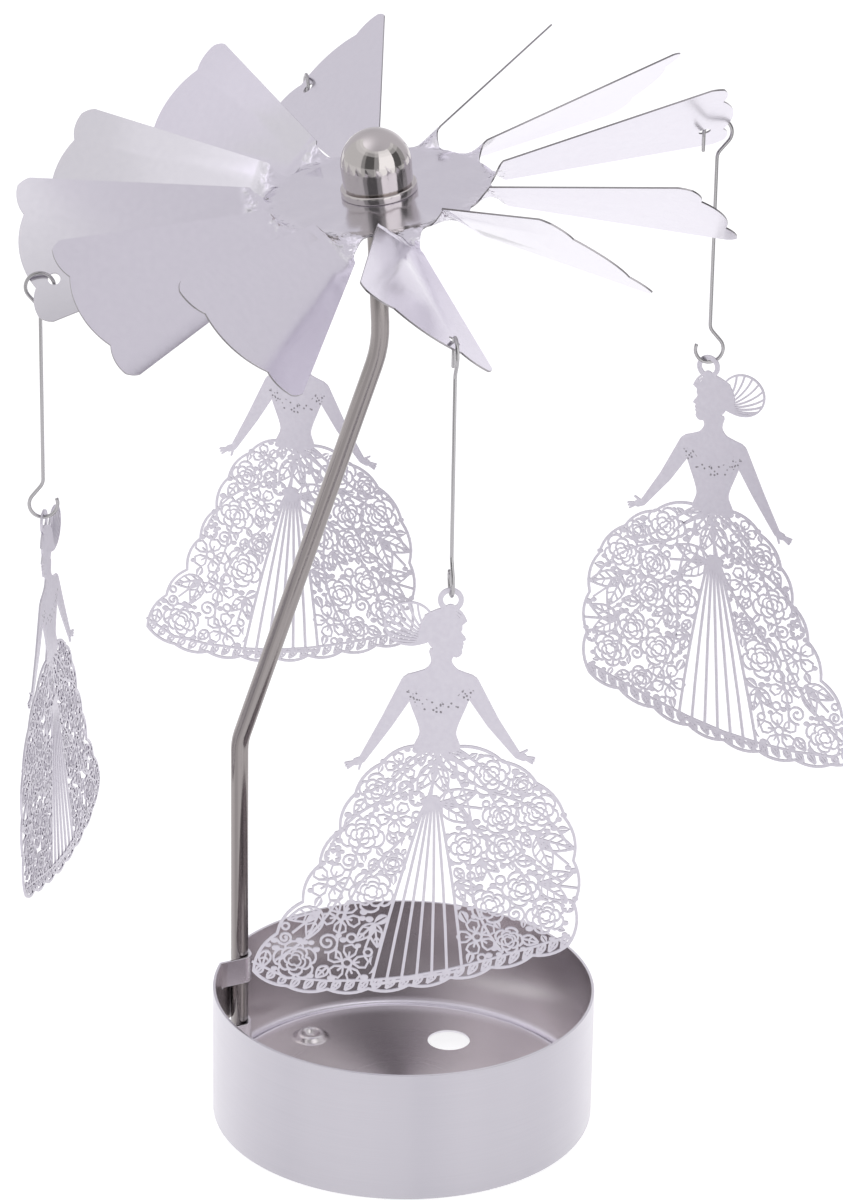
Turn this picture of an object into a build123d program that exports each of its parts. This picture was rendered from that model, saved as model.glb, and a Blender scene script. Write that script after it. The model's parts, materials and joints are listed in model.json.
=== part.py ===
from build123d import *
import os
from math import acos, atan2, ceil, cos, degrees, hypot, radians, sin, sqrt, tan

# Tea-light carousel of pressed sheet steel. The origin is the centre of the cup's underside, +Z is up,
# and -Y is the front. Lengths are millimetres and angles are degrees.

# Cup, drawn from one sheet, with its wall folded back under the floor as a foot
cup_diameter = 65.0
cup_height = 23.4
cup_sheet = 0.5
floor_rise = 3.3
foot_width = 1.1
floor_hole_diameter = 7.4
floor_hole_x = 8.0
floor_hole_y = 18.2
dimple_diameter = 6.2
dimple_height = 1.3
dimple_top_diameter = 3.4
dimple_x = -16.2
dimple_y = 18.4

# Two straps lanced out of the wall, which hold the post
strap_reach = 4.6
upper_strap_width = 4.8
lower_strap_width = 5.4
lower_strap_top = 10.5
lance_slit = 0.3

# Post, one bent rod with a pointed top
post_diameter = 3.0
post_azimuth = 159.2
post_clearance = 0.1
axis_offset = 7.6
upper_bend_offset = 5.6
lower_bend_height = 63.7
lower_bend_radius = 10.0
upper_bend_drop = 35.2
upper_bend_radius = 20.0
pivot_height = 173.7
point_length = 4.5
point_radius = 0.25

# Pivot cap, a drawn thimble crimped through the wheel
dome_diameter = 11.5
dome_height = 9.3
dome_facet_count = 3
cap_sheet = 0.6
collar_diameter = 12.4
collar_height = 1.3
cap_neck_diameter = 8.8
crimp_diameter = 10.8
crimp_thickness = 0.5
pivot_seat_diameter = 3.0
pivot_gap = 0.15
cap_fit = 0.05

# Fan wheel, stamped from one sheet, with its blades twisted by hand at their necks
wheel_sheet = 0.3
wheel_lean = 8.7
wheel_lean_azimuth = 212.0
first_blade_azimuth = 99.9
hub_flat_radius = 17.3
keyhole_radius = 1.6
twist_length = 3.1
neck_shares = (0, 0.5, 1)
blade_length = 35.5
blade_tip_width = 26.0
small_lobe_width = 6.6
corner_cut = 1.1
notch_step = 0.7
small_lobe_step = 1.4
small_lobe_shoulder_share = 0.45
big_lobe_step = 2.4
blade_pitches = (36, 38, 36, 45, 45, 44.5, 44, 46, 42, 42, 38.5, 41)
blade_lifts = (3, 3, 0.5, -1, -0.5, -0.5, 0, 6, -1.5, 6, 0.2, -1.8)
blade_skews = (1.2, 3, 3, 3, 3, 3, 3, 3, 3, 3, 3, 3)
hung_sides = ("back", "left", "front", "right")

# Hooks, each one bent wire with an open ring at both ends
hook_wire = 0.6
hook_wire_side_count = 6
hook_bend_step = 20.0
hook_ring_radius = 2.3
hook_neck_radius = 2.0
hook_neck_angle = 40.0
hook_stem_length = 28.5
hook_leg_length = 3.2
hook_tip_turn = 242.0
hook_hole_diameter = 2.0
hook_hole_from_middle = 5.4
hook_bridge = 2.6
hook_seat = 0.85

# Pendants, each one photo-etched plate, with its hanging hole as its own origin
pendant_sheet = 0.3
pendant_width = 51.0
pendant_height = 69.6
pendant_hole_diameter = 2.4
pendant_hole_wall = 0.8
pendant_seat = 0.1
limb_end_side_count = 8
pendant_yaws = {"front": 0, "right": 155, "back": -20, "left": -100}
pendant_rocks = {"front": 0, "right": 0, "back": 0, "left": 4}
bun_slit_turn = 20

cut_overrun = 1.0

# Sizes that follow from the ones above
cup_radius = cup_diameter / 2
post_radius = post_diameter / 2
post_place_radius = cup_radius - cup_sheet - post_clearance - post_radius
pivot_x = axis_offset * cos(radians(post_azimuth))
pivot_y = axis_offset * sin(radians(post_azimuth))
pivot_rise = collar_height + dome_height - cap_sheet - pivot_gap
blade_root = hub_flat_radius + twist_length
blade_count = len(blade_pitches)
blade_pitch_angle = 360 / blade_count


def write(shape, name):
    """Save one piece as a STEP file named after its node."""
    shape.label = name
    export_step(shape, os.path.join("parts", name + ".step"))


def revolved(*points):
    """Turn a closed profile of (radius, height) points round Z."""
    return revolve(Plane.XZ * make_face(Polyline(*points, close=True)), Axis.Z)


# Cup

def strap(bottom, width):
    """One lanced strap, bent over the post like a staple, with both its ends in the wall."""
    bend_radius = post_radius + post_clearance + cup_sheet / 2
    wall_middle = cup_radius - cup_sheet / 2
    end_x = sqrt(wall_middle ** 2 - strap_reach ** 2)
    end_distance = hypot(end_x - post_place_radius, strap_reach)
    end_angle = atan2(strap_reach, end_x - post_place_radius)
    tangent_angle = end_angle + acos(bend_radius / end_distance)
    apex = post_place_radius + bend_radius / cos(tangent_angle)
    middle_line = FilletPolyline((end_x, -strap_reach), (apex, 0), (end_x, strap_reach), radius=bend_radius)
    section = trace(middle_line, line_width=cup_sheet)
    return Pos(0, 0, bottom) * extrude(section, amount=width)


def strap_window(bottom, top):
    """The part of the wall that a strap was lanced out of."""
    depth = cup_sheet + 2 * cut_overrun
    window = Box(depth, 2 * strap_reach, top - bottom, align=(Align.CENTER, Align.CENTER, Align.MIN))
    return Pos(cup_radius - cup_sheet / 2, 0, bottom) * window


def base_cup():
    wall_inside = cup_radius - cup_sheet
    foot_inside = cup_radius - foot_width
    floor_underside = floor_rise - cup_sheet
    cup = revolved(
        (0, floor_underside),
        (foot_inside, floor_underside),
        (foot_inside, 0),
        (cup_radius, 0),
        (cup_radius, cup_height),
        (wall_inside, cup_height),
        (wall_inside, floor_rise),
        (0, floor_rise),
    )
    hole = Cylinder(floor_hole_diameter / 2, floor_rise + cut_overrun)
    cup -= Pos(floor_hole_x, floor_hole_y, floor_rise) * hole

    # The dimple is pressed up from below, so it is hollow underneath
    dimple_align = (Align.CENTER, Align.CENTER, Align.MIN)
    dimple = Cone(dimple_diameter / 2, dimple_top_diameter / 2, dimple_height, align=dimple_align)
    cup += Pos(dimple_x, dimple_y, floor_rise) * dimple
    cup -= Pos(dimple_x, dimple_y, floor_underside) * dimple

    upper_bottom = cup_height - upper_strap_width
    lower_bottom = lower_strap_top - lower_strap_width
    turn = Rot(Z=post_azimuth)
    cup -= turn * strap_window(upper_bottom - lance_slit, cup_height + cut_overrun)
    cup -= turn * strap_window(lower_bottom - lance_slit, lower_strap_top + lance_slit)
    cup += turn * strap(upper_bottom, upper_strap_width)
    cup += turn * strap(lower_bottom, lower_strap_width)
    return cup


# Post

def post():
    """The rod stands in the straps, slants inwards and rises to its point on the wheel's axis."""
    pivot = Vector(axis_offset, 0, pivot_height)
    upper_bend = Vector(upper_bend_offset, 0, pivot_height - upper_bend_drop)
    upwards = (pivot - upper_bend).normalized()
    shaft_top = pivot - upwards * point_length
    middle_line = FilletPolyline(
        (post_place_radius, 0, floor_rise),
        (post_place_radius, 0, lower_bend_height),
        upper_bend,
        shaft_top,
        radius=(lower_bend_radius, upper_bend_radius),
    )
    rod = sweep(Plane(origin=middle_line @ 0, z_dir=middle_line % 0) * Circle(post_radius), path=middle_line)
    point = Cone(post_radius, point_radius, point_length, align=(Align.CENTER, Align.CENTER, Align.MIN))
    rod += Plane(origin=shaft_top, z_dir=upwards) * point
    return Rot(Z=post_azimuth) * rod


# Pivot cap and fan wheel, both drawn level about the middle of the wheel's hub

def rotor_place():
    """Where the wheel's hub stands: the wheel rocks on the post's point and leans a little."""
    lean = Rot(Z=wheel_lean_azimuth) * Rot(Y=wheel_lean) * Rot(Z=-wheel_lean_azimuth)
    return Pos(pivot_x, pivot_y, pivot_height) * lean * Pos(0, 0, -pivot_rise)


def pivot_cap():
    """A thimble with a domed crown, and a pivot seat inside it where the post's point rests."""
    dome_radius = dome_diameter / 2
    top = collar_height + dome_height
    neck_radius = cap_neck_diameter / 2
    bottom = -wheel_sheet - crimp_thickness
    crown = []
    for step in range(dome_facet_count + 1):
        turn = radians(90 * step / dome_facet_count)
        crown.append((dome_radius * sin(turn), top - dome_radius + dome_radius * cos(turn)))
    return revolved(
        *crown,
        (dome_radius, collar_height),
        (collar_diameter / 2, collar_height),
        (collar_diameter / 2, 0),
        (neck_radius, 0),
        (neck_radius, -wheel_sheet),
        (crimp_diameter / 2, -wheel_sheet),
        (crimp_diameter / 2, bottom),
        (neck_radius - cap_sheet, bottom),
        (neck_radius - cap_sheet, cap_sheet),
        (dome_radius - cap_sheet, cap_sheet),
        (dome_radius - cap_sheet, top - dome_radius),
        (pivot_seat_diameter / 2, top - cap_sheet),
        (0, top - cap_sheet),
    )


def neck_half_width(along):
    """Half the width of the sheet between two keyholes, at a distance from the wheel's centre."""
    keyhole_x = hub_flat_radius + keyhole_radius
    keyhole_y = keyhole_x * tan(radians(blade_pitch_angle / 2))
    across = max(0, keyhole_radius ** 2 - (along - keyhole_x) ** 2)
    return keyhole_y - sqrt(across)


def twist_frame(share, blade):
    """Where the sheet lies at a share of the way along a blade's twisted neck."""
    eased = share * share * (3 - 2 * share)
    turn = Rot(Y=-eased * blade_lifts[blade]) * Rot(Z=-eased * blade_skews[blade]) * Rot(X=-eased * blade_pitches[blade])
    return Pos(hub_flat_radius + share * twist_length, 0, 0) * turn


def tip_corner():
    """Where a blade's straight side ends, from the blade's root."""
    return blade_length, blade_tip_width / 2


def blade_outline():
    """A blade's flat shape from its root: straight sides, and an edge of a big lobe between small ones."""
    corner_x, corner_y = tip_corner()
    notch_y = corner_y - small_lobe_width
    shoulder_y = corner_y - small_lobe_shoulder_share * small_lobe_width
    notch_x = corner_x + notch_step
    root_y = neck_half_width(blade_root)
    lobe_x = corner_x + small_lobe_step
    straight_edges = Polyline(
        (notch_x, -notch_y),
        (lobe_x, -shoulder_y),
        (corner_x, -corner_y),
        (0, -root_y),
        (0, root_y),
        (corner_x, corner_y),
        (lobe_x, shoulder_y),
        (notch_x, notch_y),
    )
    big_lobe = ThreePointArc((notch_x, notch_y), (corner_x + big_lobe_step, 0), (notch_x, -notch_y))
    outline = make_face(Curve() + [straight_edges, big_lobe])
    for side in (-corner_y, corner_y):
        corner = outline.vertices().sort_by_distance((corner_x, side))[0]
        outline = chamfer(corner, corner_cut)
    return outline


def hook_bridge_middle():
    """The middle of the sheet between a hook's hole and the blade's edge, from the blade's root."""
    corner_x, corner_y = tip_corner()
    notch_y = corner_y - small_lobe_width
    rise = big_lobe_step - notch_step
    lobe_radius = (notch_y ** 2 + rise ** 2) / (2 * rise)
    lobe_centre = corner_x + big_lobe_step - lobe_radius
    edge = lobe_centre + sqrt(lobe_radius ** 2 - hook_hole_from_middle ** 2)
    return edge - hook_bridge / 2


def hook_hole_middle():
    return hook_bridge_middle() - hook_bridge / 2 - hook_hole_diameter / 2


def folded(start, start_side, end, end_side):
    """Two flat triangles with a crease between them, from the start corner to the far end's side."""
    return [make_face(Polyline(start, corner, end_side, close=True)) for corner in (start_side, end)]


def creased_neck(number):
    """The twisted strip between two keyholes: the sheet can't stretch, so flat triangles meet at creases."""
    stations = []
    for share in neck_shares:
        half_width = neck_half_width(hub_flat_radius + share * twist_length)
        corners = [(0, side * half_width, face * wheel_sheet / 2) for face in (1, -1) for side in (1, -1)]
        stations.append([(twist_frame(share, number) * Pos(corner)).position for corner in corners])
    faces = []
    for left_top, right_top, left_low, right_low in (stations[0], stations[-1]):
        faces.append(make_face(Polyline(left_top, right_top, right_low, left_low, close=True)))
    for near, far in zip(stations, stations[1:]):
        left_top, right_top, left_low, right_low = near
        far_left_top, far_right_top, far_left_low, far_right_low = far
        faces += folded(left_top, right_top, far_left_top, far_right_top)
        faces += folded(left_low, right_low, far_left_low, far_right_low)
        faces += folded(left_top, left_low, far_left_top, far_left_low)
        faces += folded(right_top, right_low, far_right_top, far_right_low)
    return Solid(Shell(faces))


def hung_blade(side):
    """The number of the blade that a side's hook hangs from."""
    return hung_sides.index(side) * blade_count // len(hung_sides)


def blade(number):
    """One blade with its creased neck, along +X from the wheel's centre."""
    outline = blade_outline()
    if number in [hung_blade(side) for side in hung_sides]:
        outline -= Pos(hook_hole_middle(), hook_hole_from_middle) * Circle(hook_hole_diameter / 2)
    plate = twist_frame(1, number) * extrude(outline, amount=wheel_sheet / 2, both=True)
    return creased_neck(number) + plate


def fan_wheel():
    hub = extrude(
        Rot(Z=blade_pitch_angle / 2) * RegularPolygon(hub_flat_radius, blade_count, major_radius=False),
        amount=wheel_sheet / 2,
        both=True,
    )
    hub -= Cylinder(cap_neck_diameter / 2 + cap_fit, wheel_sheet + cut_overrun)
    blades = [Rot(Z=first_blade_azimuth + blade_pitch_angle * number) * blade(number) for number in range(blade_count)]
    hub = Rot(Z=first_blade_azimuth) * hub
    return Pos(0, 0, -wheel_sheet / 2) * hub.fuse(*blades)


# Hooks

def hook_ring_place(side):
    """The centre of a hook's upper ring, and the compass angle that the ring faces."""
    number = hung_blade(side)
    sheet = (
        rotor_place()
        * Pos(0, 0, -wheel_sheet / 2)
        * Rot(Z=first_blade_azimuth + blade_pitch_angle * number)
        * twist_frame(1, number)
    )
    bridge = (sheet * Pos(hook_bridge_middle(), hook_hole_from_middle, 0)).position
    hole = (sheet * Pos(hook_hole_middle(), hook_hole_from_middle, 0)).position
    azimuth = degrees(atan2(bridge.Y - hole.Y, bridge.X - hole.X))
    return bridge - Vector(0, 0, hook_seat), azimuth


def hook_neck_drop():
    """The height from a ring's centre to the end of the stem."""
    turn = radians(hook_neck_angle)
    slant = (hook_ring_radius * cos(turn) - hook_neck_radius * (1 - cos(turn))) / sin(turn)
    drop = hook_ring_radius * sin(turn) + slant * cos(turn) + hook_neck_radius * sin(turn)
    return slant, drop


def lower_ring_depth():
    return 2 * hook_neck_drop()[1] + hook_stem_length


def bend_points(arc, turn):
    """Points along a bend, which is drawn as short straight runs to keep its facets few."""
    count = ceil(abs(turn) / hook_bend_step)
    return [arc @ (step / count) for step in range(count + 1)]


def hook():
    """One bent wire in the XZ plane, from the centre of its upper ring, with +X away from the post."""
    slant, drop = hook_neck_drop()
    turn = hook_neck_angle
    leg = Line((-hook_ring_radius, -hook_leg_length), (-hook_ring_radius, 0))
    upper_ring = JernArc(leg @ 1, leg % 1, hook_ring_radius, -180 - turn)
    upper_slant = PolarLine(upper_ring @ 1, slant, direction=upper_ring % 1)
    upper_neck = JernArc(upper_slant @ 1, upper_slant % 1, hook_neck_radius, turn)
    stem = PolarLine(upper_neck @ 1, hook_stem_length, direction=upper_neck % 1)
    lower_neck = JernArc(stem @ 1, stem % 1, hook_neck_radius, turn)
    lower_slant = PolarLine(lower_neck @ 1, slant, direction=lower_neck % 1)
    lower_ring = JernArc(lower_slant @ 1, lower_slant % 1, hook_ring_radius, -hook_tip_turn)
    bends = ((upper_ring, 180 + turn), (upper_neck, turn), (lower_neck, turn), (lower_ring, hook_tip_turn))
    points = [leg @ 0]
    for arc, bend_turn in bends:
        points += bend_points(arc, bend_turn)
    middle_line = Plane.XZ * Polyline(*points)
    wire_section = RegularPolygon(hook_wire / 2, hook_wire_side_count)
    start = Plane(origin=middle_line @ 0, z_dir=middle_line % 0)
    return sweep(start * wire_section, path=middle_line, transition=Transition.RIGHT)


# Pendants: a generic lady in a ball gown, with the hanging hole at the crown of her head

skirt_left_shares = (
    (-0.100, 0.352), (-0.205, 0.398), (-0.285, 0.475), (-0.330, 0.566),
    (-0.392, 0.653), (-0.443, 0.746), (-0.522, 0.826), (-0.598, 0.925),
)
skirt_hem_shares = (
    (-0.490, 0.964), (-0.363, 0.971), (-0.235, 0.968), (-0.108, 0.957),
    (0.020, 0.936), (0.147, 0.908), (0.275, 0.876), (0.388, 0.846),
)
skirt_right_shares = (
    (0.402, 0.740), (0.396, 0.632), (0.365, 0.525), (0.275, 0.440), (0.170, 0.388), (0.030, 0.352),
)
scallop_share = 0.12
scallop_shoulder_shares = (0.3, 0.7)
bodice_left_shares = ((-0.125, 0.196), (-0.118, 0.250), (-0.088, 0.320), (-0.104, 0.362))
bodice_right_shares = ((0.030, 0.362), (0.022, 0.320), (0.052, 0.250), (0.070, 0.196))
neckline_shares = ((0.012, 0.166), (-0.002, 0.128), (-0.052, 0.128), (-0.060, 0.166))
head_middle_shares = (-0.022, 0.082)
head_width_share = 0.125
head_height_share = 0.115
bun_middle_shares = (-0.108, 0.072)
bun_width_share = 0.125
left_arm_shares = ((-0.118, 0.202), (-0.190, 0.300), (-0.275, 0.405))
right_arm_shares = ((0.062, 0.202), (0.130, 0.295), (0.225, 0.388))
arm_width_shares = (0.062, 0.046, 0.030)
pleat_top_shares = (-0.050, 0.500)
pleat_bottom_shares = (-0.085, 0.915)
pleat_spread_share = 0.27
pleat_root_spread_share = 0.12
pleat_open_share = 0.75
pleat_rise_share = 0.2
pleat_count = 6
bun_slit_place_shares = (-0.45, 0, 0.45)
bun_slit_length_share = 1.0
bun_slit_width_share = 0.2
leaf_length_share = 0.095
leaf_width_share = 0.072
leaf_pitch_share = 0.122
leaf_margin_share = 0.045
leaf_shoulder_share = 0.12
leaf_fan_share = 0.7
leaf_first_row_share = 0.452
leaf_row_pitch_share = 0.112
leaf_row_count = 5


def on_plate(shares):
    """A point of the plate from its shares of the plate's width and height."""
    return Vector(shares[0] * pendant_width, -shares[1] * pendant_height)


def scalloped(points):
    """The corners of a chain of blunt scallops that stand out to the right of the way the points run."""
    corners = []
    for start, end in zip(points, points[1:]):
        chord = end - start
        outwards = Vector(chord.Y, -chord.X) * scallop_share
        corners += [start] + [start + chord * share + outwards for share in scallop_shoulder_shares]
    return corners + [points[-1]]


def tapered(start, end, start_width, end_width):
    """A straight limb with blunt ends."""
    start_end = Pos(start) * RegularPolygon(start_width / 2, limb_end_side_count)
    far_end = Pos(end) * RegularPolygon(end_width / 2, limb_end_side_count)
    return make_hull(start_end.edges() + far_end.edges())


def skirt():
    left = [on_plate(shares) for shares in skirt_left_shares]
    hem = [left[-1]] + [on_plate(shares) for shares in skirt_hem_shares]
    right = [hem[-1]] + [on_plate(shares) for shares in skirt_right_shares]
    return make_face(Polyline(*scalloped(left + hem[1:] + right[1:]), close=True))


def figure():
    """Head, bun, neck, bodice and both arms, as one flat shape."""
    outline = [on_plate(shares) for shares in neckline_shares + bodice_left_shares + bodice_right_shares]
    shape = make_face(Polyline(*outline, close=True))
    head = Ellipse(head_width_share * pendant_width / 2, head_height_share * pendant_height / 2)
    shape += Pos(on_plate(head_middle_shares)) * head
    shape += Pos(on_plate(bun_middle_shares)) * Circle(bun_width_share * pendant_width / 2)
    loop = Circle(pendant_hole_diameter / 2 + pendant_hole_wall)
    shape += make_hull(loop.edges() + (Pos(on_plate(head_middle_shares)) * loop).edges())
    widths = [share * pendant_width for share in arm_width_shares]
    for arm_shares in (left_arm_shares, right_arm_shares):
        shoulder, elbow, hand = [on_plate(shares) for shares in arm_shares]
        shape += tapered(shoulder, elbow, widths[0], widths[1])
        shape += tapered(elbow, hand, widths[1], widths[2])
    return shape


def across_skirt(height, side_shares):
    """How far out a side of the skirt reaches at a height below the hole."""
    points = [on_plate(shares) for shares in side_shares]
    for start, end in zip(points, points[1:]):
        low, high = sorted((start.Y, end.Y))
        if low <= height <= high:
            return start.X + (end.X - start.X) * (height - start.Y) / (end.Y - start.Y)
    return points[-1].X


def leaf():
    """A leaf-shaped opening, pointed at both ends, along Y and widest just below its middle."""
    length = leaf_length_share * pendant_height
    width = leaf_width_share * pendant_width
    shoulder = -leaf_shoulder_share * length
    points = ((0, -length / 2), (width / 2, shoulder), (0, length / 2), (-width / 2, shoulder))
    return make_face(Polyline(*points, close=True))


def leaf_openings():
    """Rows of leaves that fan out from the waist, on both sides of the pleats."""
    margin = leaf_margin_share * pendant_width
    waist = on_plate(skirt_left_shares[0])
    pleat_top, pleat_bottom = on_plate(pleat_top_shares), on_plate(pleat_bottom_shares)
    leaves = []
    for row in range(leaf_row_count):
        height = -(leaf_first_row_share + row * leaf_row_pitch_share) * pendant_height
        left = across_skirt(height, skirt_left_shares) + margin
        right = across_skirt(height, skirt_hem_shares[-1:] + skirt_right_shares) - margin
        share = max(0, (pleat_top.Y - height) / (pleat_top.Y - pleat_bottom.Y))
        middle = pleat_top.X + (pleat_bottom.X - pleat_top.X) * share
        half_pleats = pleat_spread_share * pendant_width * share / 2 + margin * min(1, share * leaf_row_count)
        for start, end in ((left, middle - half_pleats), (middle + half_pleats, right)):
            count = round((end - start) / (leaf_pitch_share * pendant_width))
            for step in range(count):
                x = start + (end - start) * (step + 0.5) / count
                fan = degrees(atan2(x - waist.X, waist.Y - height))
                leaves.append(Pos(x, height) * Rot(Z=fan * leaf_fan_share) * leaf())
    return leaves


def pleat_openings():
    """Long slits that widen towards the hem."""
    top, bottom = on_plate(pleat_top_shares), on_plate(pleat_bottom_shares)
    root_pitch = pleat_root_spread_share * pendant_width / pleat_count
    hem_pitch = pleat_spread_share * pendant_width / pleat_count
    root_width = pleat_open_share * root_pitch
    hem_width = pleat_open_share * hem_pitch
    slits = []
    for number in range(pleat_count):
        place = number - (pleat_count - 1) / 2
        high_x = top.X + place * root_pitch
        low_x = bottom.X + place * hem_pitch
        low_y = bottom.Y + place * hem_pitch * pleat_rise_share
        slit = Polyline(
            (high_x - root_width / 2, top.Y),
            (high_x + root_width / 2, top.Y),
            (low_x + hem_width / 2, low_y),
            (low_x - hem_width / 2, low_y),
            close=True,
        )
        slits.append(make_face(slit))
    return slits


def bun_openings():
    """Three slits that follow the lie of the hair in the bun."""
    bun_radius = bun_width_share * pendant_width / 2
    middle = on_plate(bun_middle_shares)
    slit = Rectangle(bun_slit_length_share * bun_radius, bun_slit_width_share * bun_radius)
    return [
        Pos(middle.X, middle.Y + share * bun_radius) * Rot(Z=bun_slit_turn) * slit
        for share in bun_slit_place_shares
    ]


def pendant_plate():
    """The pierced plate, flat on XY about the middle of its thickness."""
    flat = skirt() + figure()
    for opening in leaf_openings() + pleat_openings() + bun_openings():
        flat -= opening
    flat -= Circle(pendant_hole_diameter / 2)
    return extrude(flat, amount=pendant_sheet / 2, both=True)


def pendant_wire_point(side):
    """The middle of the wire at the bottom of a hook's lower ring."""
    ring, azimuth = hook_ring_place(side)
    return ring - Vector(0, 0, lower_ring_depth() + hook_ring_radius)


def pendant(plate, side):
    """The plate hung on its hook, turned as it happens to hang."""
    hole_drop = pendant_hole_diameter / 2 - hook_wire / 2 - pendant_seat
    hung = Rot(Z=pendant_yaws[side]) * Rot(X=90) * Rot(Z=-pendant_rocks[side]) * Pos(0, -hole_drop, 0)
    return Pos(pendant_wire_point(side)) * hung * plate


os.makedirs("parts", exist_ok=True)
write(base_cup(), "base_cup")
write(post(), "post")
write(rotor_place() * pivot_cap(), "pivot_cap")
write(rotor_place() * fan_wheel(), "fan_wheel")
bent_hook = hook()
plate = pendant_plate()
for side in hung_sides:
    ring, azimuth = hook_ring_place(side)
    write(Pos(ring) * Rot(Z=azimuth) * bent_hook, "hook_" + side)
    write(pendant(plate, side), "pendant_" + side)
    wire = pendant_wire_point(side)
    print(side, "ring centre", tuple(round(value, 3) for value in ring), "faces", round(azimuth, 2))
    print(side, "pendant pivot", tuple(round(value, 3) for value in wire))
print("spin axis at", round(pivot_x, 3), round(pivot_y, 3))
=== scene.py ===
import json
from math import acos, atan2, cos, degrees, exp, hypot, pi, radians, sin, sqrt, tan
from random import Random

import bmesh
import bpy
from mathutils import Matrix, Vector
from mathutils.geometry import delaunay_2d_cdt


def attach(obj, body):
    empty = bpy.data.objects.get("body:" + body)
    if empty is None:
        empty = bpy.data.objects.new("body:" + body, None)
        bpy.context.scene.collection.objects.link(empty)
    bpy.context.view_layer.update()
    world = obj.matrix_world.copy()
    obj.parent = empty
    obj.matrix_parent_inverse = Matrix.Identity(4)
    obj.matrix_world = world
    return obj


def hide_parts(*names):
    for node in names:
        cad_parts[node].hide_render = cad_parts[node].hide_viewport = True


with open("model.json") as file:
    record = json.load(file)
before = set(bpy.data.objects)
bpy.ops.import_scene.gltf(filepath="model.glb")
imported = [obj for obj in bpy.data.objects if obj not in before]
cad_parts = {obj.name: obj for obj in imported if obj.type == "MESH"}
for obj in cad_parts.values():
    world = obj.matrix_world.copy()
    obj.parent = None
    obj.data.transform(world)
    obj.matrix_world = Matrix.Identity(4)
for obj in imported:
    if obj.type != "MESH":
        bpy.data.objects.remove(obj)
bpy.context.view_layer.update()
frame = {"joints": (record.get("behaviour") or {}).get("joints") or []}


# Camera. A long lens, 0.8 m away, looks down at the carousel from the front, tilted a little to one side.
# It is no part of the carousel.
camera_target = Vector((0.00196, 0, 0.09461))
camera_distance = 0.8
camera_elevation = 22.83
camera_roll = 0.94
camera_lens = 145.68


def shift(x, y, z):
    return Matrix.Translation((x, y, z))


def turn(angle, axis):
    return Matrix.Rotation(radians(angle), 4, axis)


camera = bpy.data.objects.new("camera", bpy.data.cameras.new("camera"))
camera.data.lens = camera_lens
camera.data.clip_start = 0.01
aim = shift(*camera_target) @ turn(90 - camera_elevation, "X") @ turn(camera_roll, "Z")
camera.matrix_world = aim @ shift(0, 0, camera_distance)
bpy.context.scene.collection.objects.link(camera)
bpy.context.scene.camera = camera


# Floor and light. A white floor runs out to a white surround, and both of them light the carousel softly.
# Rows of curved cards stand round its front, level with the wheel and above it. Polished metal mirrors them,
# and nothing else sees them. Nothing here is part of the carousel.
floor_radius = 6.0
floor_shade = 0.5
floor_glow = 0.74
surround_white = (0.97, 0.95, 1.0, 1)
surround_strength = 0.78
# Each glow: its direction, how narrow it is, and how much it adds
surround_glows = (
    ((-0.54, -0.09, 0.83), 10, 0.7),
    ((0.35, 0.93, 0.08), 30, 0.3),
    ((-0.03, -0.52, 0.85), 10, -0.1),
    ((-0.12, 0.85, 0.52), 25, -0.05),
)
card_radius = 0.1
# Each row of cards: its bottom, its top, and how much of each card's own glow it shows
card_rows = ((0.115, 0.163, 0.6), (0.163, 0.24, 1.0), (0.24, 0.275, 0.6), (0.275, 0.31, 0.3))
row_glow = 1.1
# Each card: where it starts and ends round the carousel, and its glow
cards = (
    (-125, -50, 0.8),
    (-50, -38, 0.4),
    (-38, -8, 0.14),
    (-8, 8, 0.45),
    (8, 62, 1.5),
    (62, 90, 0.14),
    (90, 112, 0.45),
)


def mesh_object(name, bm, material):
    """Finish a mesh, with smooth shading, and give it its object and material."""
    mesh = bpy.data.meshes.new(name)
    bm.to_mesh(mesh)
    bm.free()
    mesh.shade_smooth()
    mesh.materials.append(material)
    made = bpy.data.objects.new(name, mesh)
    bpy.context.scene.collection.objects.link(made)
    return made


def lit_paint(name, shade, glow):
    """Matt white paint that also shines by itself."""
    paint = bpy.data.materials.new(name)
    paint.use_nodes = True
    shader = paint.node_tree.nodes["Principled BSDF"]
    shader.inputs["Base Color"].default_value = (shade, shade, shade, 1)
    shader.inputs["Roughness"].default_value = 1.0
    shader.inputs["Specular IOR Level"].default_value = 0.0
    shader.inputs["Emission Color"].default_value = (1, 1, 1, 1)
    shader.inputs["Emission Strength"].default_value = glow
    return paint


bm = bmesh.new()
bmesh.ops.create_circle(bm, cap_ends=True, segments=96, radius=floor_radius)
mesh_object("floor", bm, lit_paint("white_floor", floor_shade, floor_glow))

for row, (bottom, top, share) in enumerate(card_rows):
    for number, (start, end, glow) in enumerate(cards):
        bm = bmesh.new()
        ends = [bm.verts.new((0, -card_radius, height)) for height in (bottom, top)]
        side = bm.edges.new(ends)
        bmesh.ops.transform(bm, matrix=turn(start, "Z"), verts=ends)
        sweep = radians(end - start)
        bmesh.ops.spin(bm, geom=[*ends, side], cent=(0, 0, 0), axis=(0, 0, 1), angle=sweep, steps=12)
        paint = lit_paint(f"card_paint_{row}_{number}", 0.0, glow * share + row_glow * (1 - share))
        card = mesh_object(f"card_{row}_{number}", bm, paint)
        card.visible_camera = False
        card.visible_diffuse = False
        card.visible_shadow = False


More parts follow.
